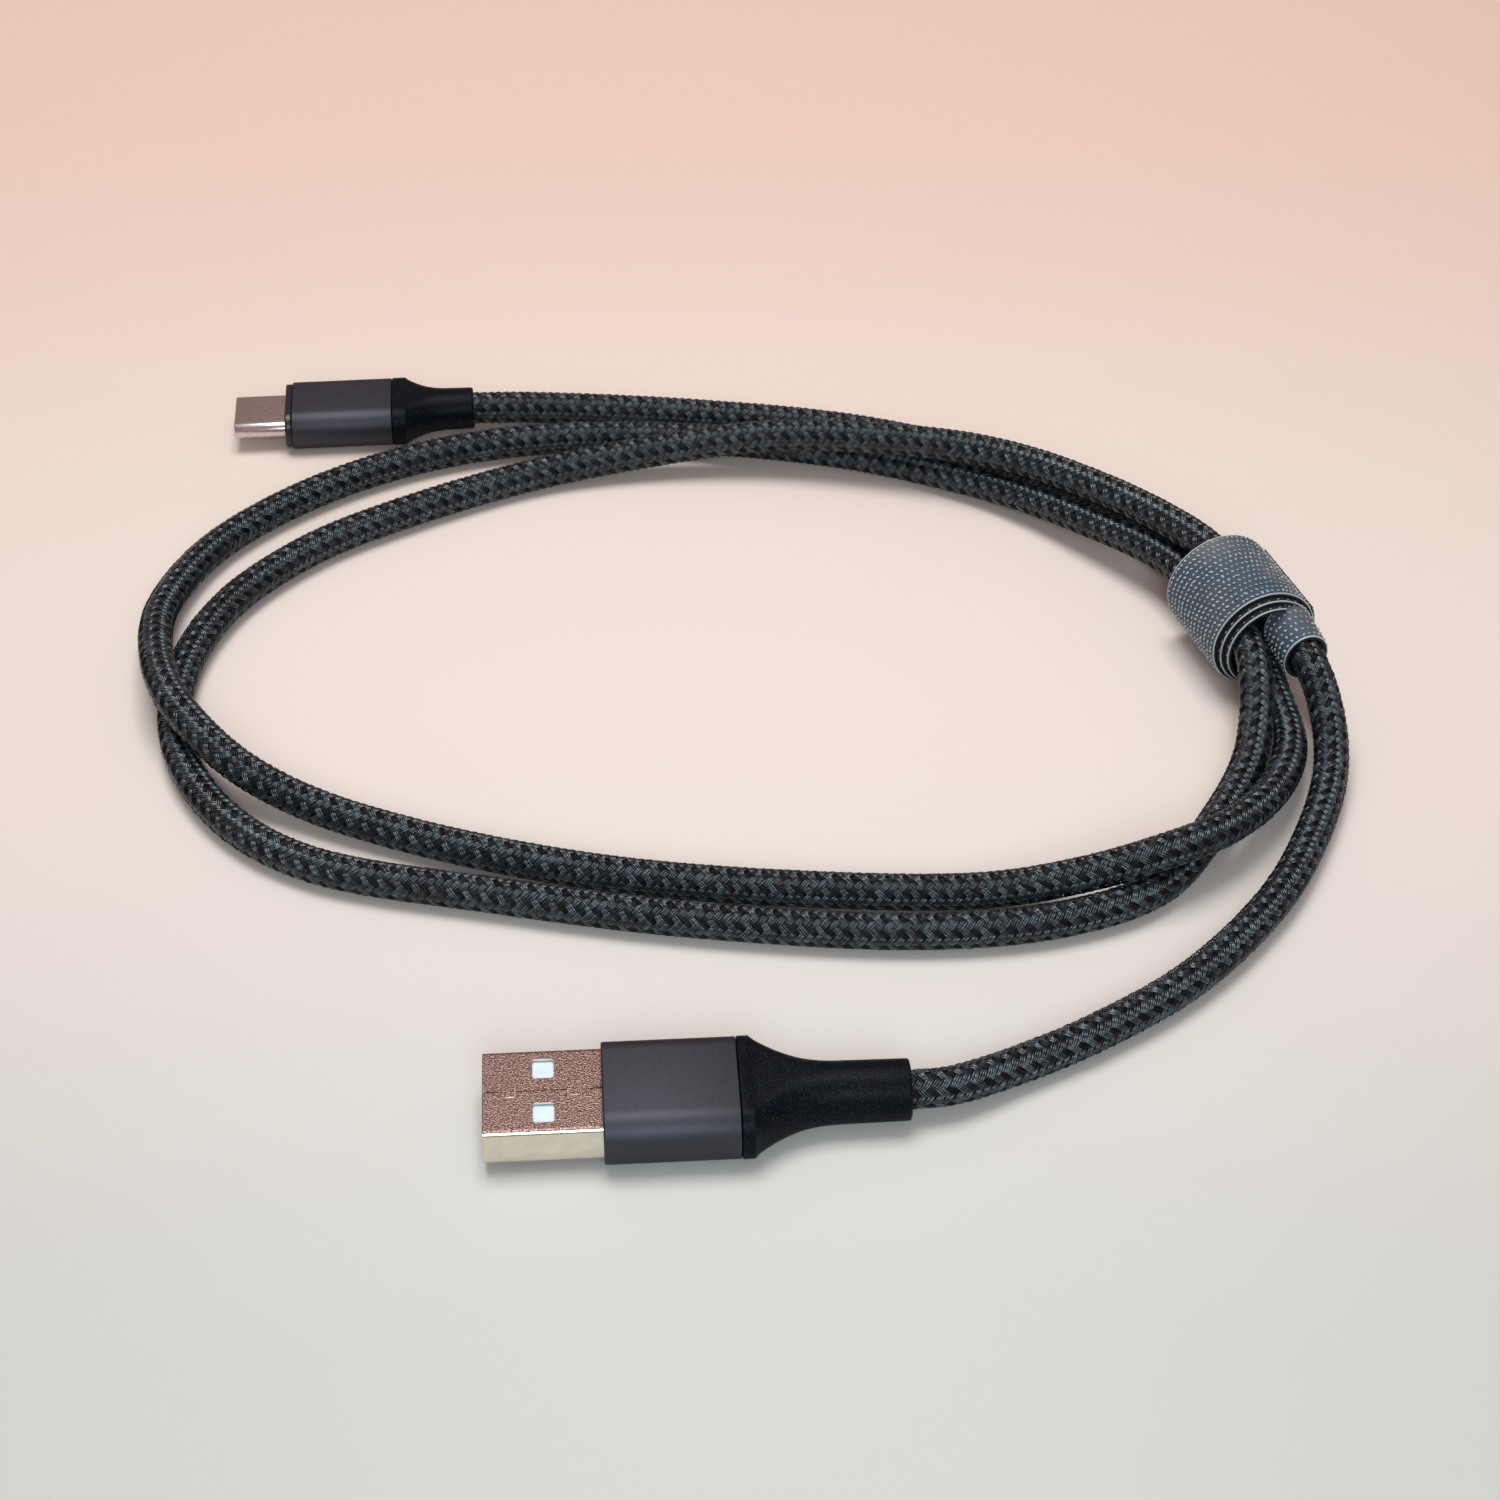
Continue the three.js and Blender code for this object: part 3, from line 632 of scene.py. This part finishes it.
def make_boot(name, plug, stations, shape, node):
    """A moulded boot: a flange as wide as the housing, then a hollow-sided taper to a round barrel."""
    w, h = plug["width"] / 2, plug["height"] / 2
    x0, flange, end = stations["boot"], stations["flange"], stations["end"]
    corner, barrel, swoop = shape["corner"], shape["barrel"], shape["swoop"]
    rings = [
        (x0, w - 0.1, h - 0.1, corner), (x0 + 0.1, w, h, corner),
        (flange - 0.12, w, h, corner), (flange, w - 0.1, h - 0.06, corner),
    ]
    steps = 22
    for i in range(1, steps + 1):
        t = i / steps
        x = flange + swoop * t
        narrow = (1 - t) ** 2.3
        low = (1 - t) ** 1.4
        half_width = barrel + (w - 0.25 - barrel) * narrow
        if barrel > h - 0.3:
            half_height = min(barrel + 0.06 * low, h - 0.04)
        else:
            half_height = barrel + (h - 0.1 - barrel) * low
        rounding = min(half_height, corner + (barrel - corner) * min(1.0, t * 1.7))
        rings.append((x, half_width, half_height, rounding))
    slim = barrel - 0.08
    rings.append((end - 0.35, slim, slim, barrel))
    for i in range(1, 5):
        angle = i / 4 * math.pi / 2
        inset = 0.3 * (1 - math.cos(angle))
        rings.append((end - 0.3 * (1 - math.sin(angle)), slim - inset, slim - inset, barrel))
    rings += [(end - 0.02, BOOT_BORE, BOOT_BORE, BOOT_BORE), (x0, BOOT_BORE, BOOT_BORE, BOOT_BORE)]
    vertices, faces = sleeve(rings, 10)
    made = piece(name, vertices, faces, [BOOT], matrix=plug_matrix(plug), smooth_below=30)
    return finish_piece(made, "boot", node)


def make_plug_a():
    make_shell_a()
    mouth = (SHELL_A["width"] / 2 + 0.06, SHELL_A["height"] / 2 + 0.06, SHELL_A["corner"])
    make_housing("usb_a_housing_sleeve", PLUG_A, A_X["housing"], A_X["boot"] - 0.08, mouth, ANODISED,
                 "anodised_housing", "usb_a_housing")
    make_boot("usb_a_boot_moulded", PLUG_A, A_X, BOOT_A, "usb_a_boot")


def make_plug_c():
    w, h = SHELL_C["width"] / 2, SHELL_C["height"] / 2
    wall = SHELL_C["wall"]
    rings = [(C_X["housing"], w, h, h)]
    for i in range(5):
        angle = i / 4 * math.pi
        inset = wall / 2 * (1 - math.cos(angle))
        rings.append((0.12 * (1 - math.sin(angle)), w - inset, h - inset, h - inset))
    rings.append((C_X["housing"], w - wall, h - wall, h - wall))
    vertices, faces = sleeve(rings, 12)
    matrix = plug_matrix(PLUG_C)
    shell = piece("usb_c_shell_drawn", vertices, faces, [NICKEL_C], matrix=matrix, smooth_below=60)
    finish_piece(shell, "nickel_shell", "usb_c_shell")
    mouth = (w + 0.05, h + 0.05, h + 0.05)
    trim = make_housing("usb_c_front_trim", FRONT_TRIM, C_X["ring"], C_X["housing"] - 0.06, mouth, RING,
                        "front_ring", "usb_c_front_ring", edge=0.2)
    trim.location.z += (PLUG_C["height"] - FRONT_TRIM["height"]) / 2 * MM
    make_housing("usb_c_housing_sleeve", PLUG_C, C_X["housing"], C_X["boot"] - 0.08, mouth, ANODISED,
                 "anodised_housing", "usb_c_housing")
    make_boot("usb_c_boot_moulded", PLUG_C, C_X, BOOT_C, "usb_c_boot")


# ------------------------------------------------------------------ the tie

def tie_matrix():
    place = Matrix.Translation((TIE["centre"][0] * MM, TIE["centre"][1] * MM, TIE_AXIS_HEIGHT * MM))
    return place @ Matrix.Rotation(math.radians(TIE["yaw"]), 4, "Z")


def band(path, half_width, thickness, hidden=0):
    """A strip along (x, y, z, normal_y, normal_z) points: pile, the hook face on it and pale rims.

    The first hidden stations lie under another turn, so their outer face is plain pile.
    Each station's section runs from the pile's near edge up over the hook face and back."""
    edge, chamfer, bulge = 0.11, 0.04, 0.02
    pile_top, rim_foot, rim_top, lip = (thickness * share for share in (0.62, 0.72, 0.98, 1.04))
    profile = [
        (-half_width, 0.0), (-half_width + 0.05, -0.02), (half_width - 0.05, -0.02), (half_width, 0.0),
        (half_width + bulge, pile_top), (half_width, rim_foot), (half_width, rim_top),
        (half_width - edge, lip), (half_width - edge - chamfer, thickness),
        (-half_width + edge + chamfer, thickness), (-half_width + edge, lip),
        (-half_width, rim_top), (-half_width, rim_foot), (-half_width - bulge, pile_top),
    ]
    rim = {5, 6, 7, 9, 10, 11}
    hook_face = 8
    vertices, faces, slots = [], [], []
    for middle, y, z, ny, nz in path:
        vertices += [(middle + x, y + ny * rise, z + nz * rise) for x, rise in profile]
    n = len(profile)
    for station in range(len(path) - 1):
        for i in range(n):
            j = (i + 1) % n
            here, after = station * n, (station + 1) * n
            faces.append((here + i, after + i, after + j, here + j))
            slots.append(2 if i in rim else 0 if i == hook_face and station >= hidden else 1)
    faces += [tuple(range(n)), tuple(reversed(range(len(vertices) - n, len(vertices))))]
    slots += [1, 1]
    return vertices, faces, slots


def spiral(turn0, turn1, steps):
    """Part of the strap's winding. Its inner turns lie a little further out of the tie's exit side."""
    path = []
    for turn in np.linspace(turn0, turn1, steps):
        angle = TIE_START + turn * 2 * math.pi
        radius = TIE["bore"] + TIE["pitch"] * turn
        creep = TIE_CREEP * (TIE["turns"] - turn)
        ny, nz = math.cos(angle), math.sin(angle)
        path.append((creep, radius * ny, radius * nz, ny, nz))
    return path


def loop_path(steps):
    """Once round the captive loop, at the middle of its width."""
    middle = (LOOP["start"] + LOOP["end"]) / 2
    path = []
    for angle in np.linspace(0, 2 * math.pi, steps):
        y = LOOP["across"] + LOOP["half_width"] * math.cos(angle)
        z = LOOP["up"] + LOOP["half_height"] * math.sin(angle)
        normal = np.array([math.cos(angle) / LOOP["half_width"], math.sin(angle) / LOOP["half_height"]])
        normal /= np.linalg.norm(normal)
        path.append((middle, y, z, *normal))
    return path


def dropped(vertices):
    """The loop's points, lowered along the tie's axis as the cord in it goes down to the table."""
    middle = (LOOP["start"] + LOOP["end"]) / 2
    return [(x, y, z - LOOP["drop"] * (x - middle)) for x, y, z in vertices]


def hooks(path, x_rows, thickness, seed):
    """Small bent hooks in rows on a band's outer face."""
    rng = np.random.default_rng(seed)
    points = np.array(path)
    along = np.concatenate([[0], np.cumsum(np.hypot(*np.diff(points[:, 1:3], axis=0).T))])
    sides, vertices, faces = 6, [], []
    every = HOOK_EVERY
    for row, x in enumerate(x_rows):
        for s in np.arange(every / 2 + (row % 2) * every / 2, along[-1] - 0.3, every):
            if rng.random() > HOOKS_KEPT:
                continue
            middle, y, z, ny, nz = (
                np.interp(s + rng.normal(0, 0.03), along, points[:, k]) for k in range(5)
            )
            out = np.array([0, ny, nz]) / math.hypot(ny, nz)
            around = np.array([0, -out[2], out[1]])
            axis = np.array([1.0, 0, 0])
            base = np.array([middle + x + rng.normal(0, 0.03), y, z]) + out * thickness
            lean = around * rng.normal(0.05, 0.05) + axis * rng.normal(0, 0.04)
            start = len(vertices)
            for level, (reach, radius) in enumerate(HOOK_LEVELS):
                for k in range(sides):
                    turn = k / sides * 2 * math.pi
                    round_it = math.cos(turn) * around + 0.8 * math.sin(turn) * axis
                    spot = base + out * reach + lean * level + radius * round_it
                    vertices.append(tuple(spot))
            vertices.append(tuple(base + out * HOOK_TIP["height"] + lean * HOOK_TIP["lean"]))
            for level in range(2):
                for k in range(sides):
                    a, b = start + level * sides + k, start + level * sides + (k + 1) % sides
                    faces.append((a, b, b + sides, a + sides))
            top = start + 2 * sides
            faces += [(top + k, top + (k + 1) % sides, top + sides) for k in range(sides)]
    return vertices, faces


def ticks(path, half_width, thickness, seed):
    """Pale hooks that show, flattened, along the exit edge of the turns under the outer one."""
    rng = np.random.default_rng(seed)
    vertices, faces = [], []
    for i in range(2, len(path) - 2, TICK_EVERY):
        middle, y, z, ny, nz = path[i]
        out, around, axis = np.array([0, ny, nz]), np.array([0, -nz, ny]), np.array([1.0, 0, 0])
        base = np.array([middle + half_width, y, z]) + out * thickness - axis * rng.uniform(0.28, 0.5)
        long, wide = rng.uniform(0.16, 0.32), rng.uniform(0.07, 0.11)
        start = len(vertices)
        for reach, side in ((-long, 0), (0, -wide), (long, 0), (0, wide)):
            vertices.append(tuple(base + around * reach + axis * side - out * 0.03))
        vertices.append(tuple(base + out * 0.09))
        faces += [(start + k, start + (k + 1) % 4, start + 4) for k in range(4)]
        faces.append((start + 3, start + 2, start + 1, start))
    return vertices, faces


def make_tie():
    matrix = tie_matrix()
    half = TIE["width"] / 2
    looks = [TAPE_FACE, TAPE_PILE, TAPE_RIM]

    def tape(name, vertices, faces, slots, *nodes):
        finish_piece(piece(name, vertices, faces, looks, slots, matrix, 50), "tie_tape", *nodes, body="tie")

    def pale(name, vertices, faces):
        finish_piece(piece(name, vertices, faces, [HOOK], None, matrix, 180), "tie_tape", body="tie")

    stations = 250
    hidden = int(stations * (1 - 1 / TIE["turns"]))
    whole = spiral(0.0, TIE["turns"], stations)
    tape("tie_strap_tape", *band(whole, half, TIE_TAPE, hidden), "tie_strap")
    loop_half = (LOOP["end"] - LOOP["start"]) / 2
    vertices, faces, slots = band(loop_path(60), loop_half, LOOP["tape"])
    tape("tie_loop_tape", dropped(vertices), faces, slots)
    rows = np.linspace(-half + 0.6, half - 0.6, 14)
    outer_turn = spiral(TIE["turns"] - 1, TIE["turns"], 120)
    pale("tie_hooks", *hooks(outer_turn, rows, TIE_TAPE, 21))
    rows = np.linspace(-loop_half + 0.5, loop_half - 0.5, 6)
    vertices, faces = hooks(loop_path(60), rows, LOOP["tape"], 22)
    pale("tie_loop_hooks", dropped(vertices), faces)
    pale("tie_edge_ticks", *ticks(whole[:hidden], half, TIE_TAPE, 24))


# ------------------------------------------------------------------ stage

def make_floor():
    """A broad sheet of paper whose colour grades from cool grey near the camera to rosy far from it: painted
    light, standing in for the lamps' tint and falloff across the floor.
    """
    half = 6.0
    mesh = bpy.data.meshes.new("floor")
    corners = [(-half, -half, 0), (half, -half, 0), (half, half, 0), (-half, half, 0)]
    mesh.from_pydata(corners, [], [(0, 1, 2, 3)])
    floor = bpy.data.objects.new("floor", mesh)
    floor.location.z = -0.00005
    bpy.context.scene.collection.objects.link(floor)
    material, shader = principled("paper_painted_light", (0.85, 0.8, 0.76), 0.75)
    shader.inputs["Specular IOR Level"].default_value = 0.2
    tree = material.node_tree
    coordinates = tree.nodes.new("ShaderNodeTexCoord")
    split = tree.nodes.new("ShaderNodeSeparateXYZ")
    spread = tree.nodes.new("ShaderNodeMapRange")
    spread.inputs["From Min"].default_value = -0.1
    spread.inputs["From Max"].default_value = 0.16
    # painted light: these stops grade the paper from cool grey near the camera to rosy far off
    ramp = tree.nodes.new("ShaderNodeValToRGB")
    ramp.color_ramp.interpolation = "EASE"
    ramp.color_ramp.elements[0].color = (0.605, 0.625, 0.595, 1)
    ramp.color_ramp.elements[1].color = (0.8, 0.62, 0.525, 1)
    centre = ramp.color_ramp.elements.new(0.42)
    centre.color = (0.79, 0.715, 0.66, 1)
    tree.links.new(coordinates.outputs["Object"], split.inputs["Vector"])
    tree.links.new(split.outputs["Y"], spread.inputs["Value"])
    tree.links.new(spread.outputs["Result"], ramp.inputs["Fac"])
    tree.links.new(ramp.outputs["Color"], shader.inputs["Base Color"])
    mesh.materials.append(material)


def add_light(kind, name, location, target, watts, colour):
    """A light aimed at a point. Returns its data."""
    data = bpy.data.lights.new(name, kind)
    data.energy = watts
    data.color = colour
    light = bpy.data.objects.new(name, data)
    light.location = location
    light.rotation_euler = (Vector(target) - Vector(location)).to_track_quat("-Z", "Y").to_euler()
    bpy.context.scene.collection.objects.link(light)
    return data


def make_lights():
    """A soft key overhead, a cool spot on the near side, and a bright zenith over dim rosy walls."""
    key = add_light("AREA", "key", (-0.05, 0.14, 0.8), (0, 0, 0), 4.4, (1.0, 0.98, 0.96))
    key.size = 0.42
    near = add_light("SPOT", "near", (0.03, -0.45, 0.3), (0, -0.06, 0), 6.4, (0.76, 0.92, 1.0))
    near.spot_size = math.radians(38)
    near.spot_blend = 1.0
    near.shadow_soft_size = 0.12
    world = bpy.data.worlds.new("studio")
    world.use_nodes = True
    bpy.context.scene.world = world
    tree = world.node_tree
    background = tree.nodes["Background"]
    coordinates = tree.nodes.new("ShaderNodeTexCoord")
    split = tree.nodes.new("ShaderNodeSeparateXYZ")
    ramp = tree.nodes.new("ShaderNodeValToRGB")
    stops = ramp.color_ramp.elements
    stops[0].position = 0.0
    stops[0].color = (0.3, 0.22, 0.19, 1)
    stops[1].position = 1.0
    stops[1].color = (0.62, 0.67, 0.72, 1)
    walls = ((0.5, (0.32, 0.22, 0.2)), (0.84, (0.34, 0.23, 0.21)), (0.95, (0.48, 0.52, 0.56)))
    for height, colour in walls:
        stops.new(height).color = (*colour, 1)
    tree.links.new(coordinates.outputs["Generated"], split.inputs["Vector"])
    tree.links.new(split.outputs["Z"], ramp.inputs["Fac"])
    tree.links.new(ramp.outputs["Color"], background.inputs["Color"])
    background.inputs["Strength"].default_value = 1.0


# ------------------------------------------------------------------ assembly

cord_line, cord_core, cord_yarns = make_cord()
dress_cad_nodes()
make_plug_a()
make_plug_c()
make_tie()

make_floor()
make_lights()
bpy.context.scene.view_settings.view_transform = "Standard"
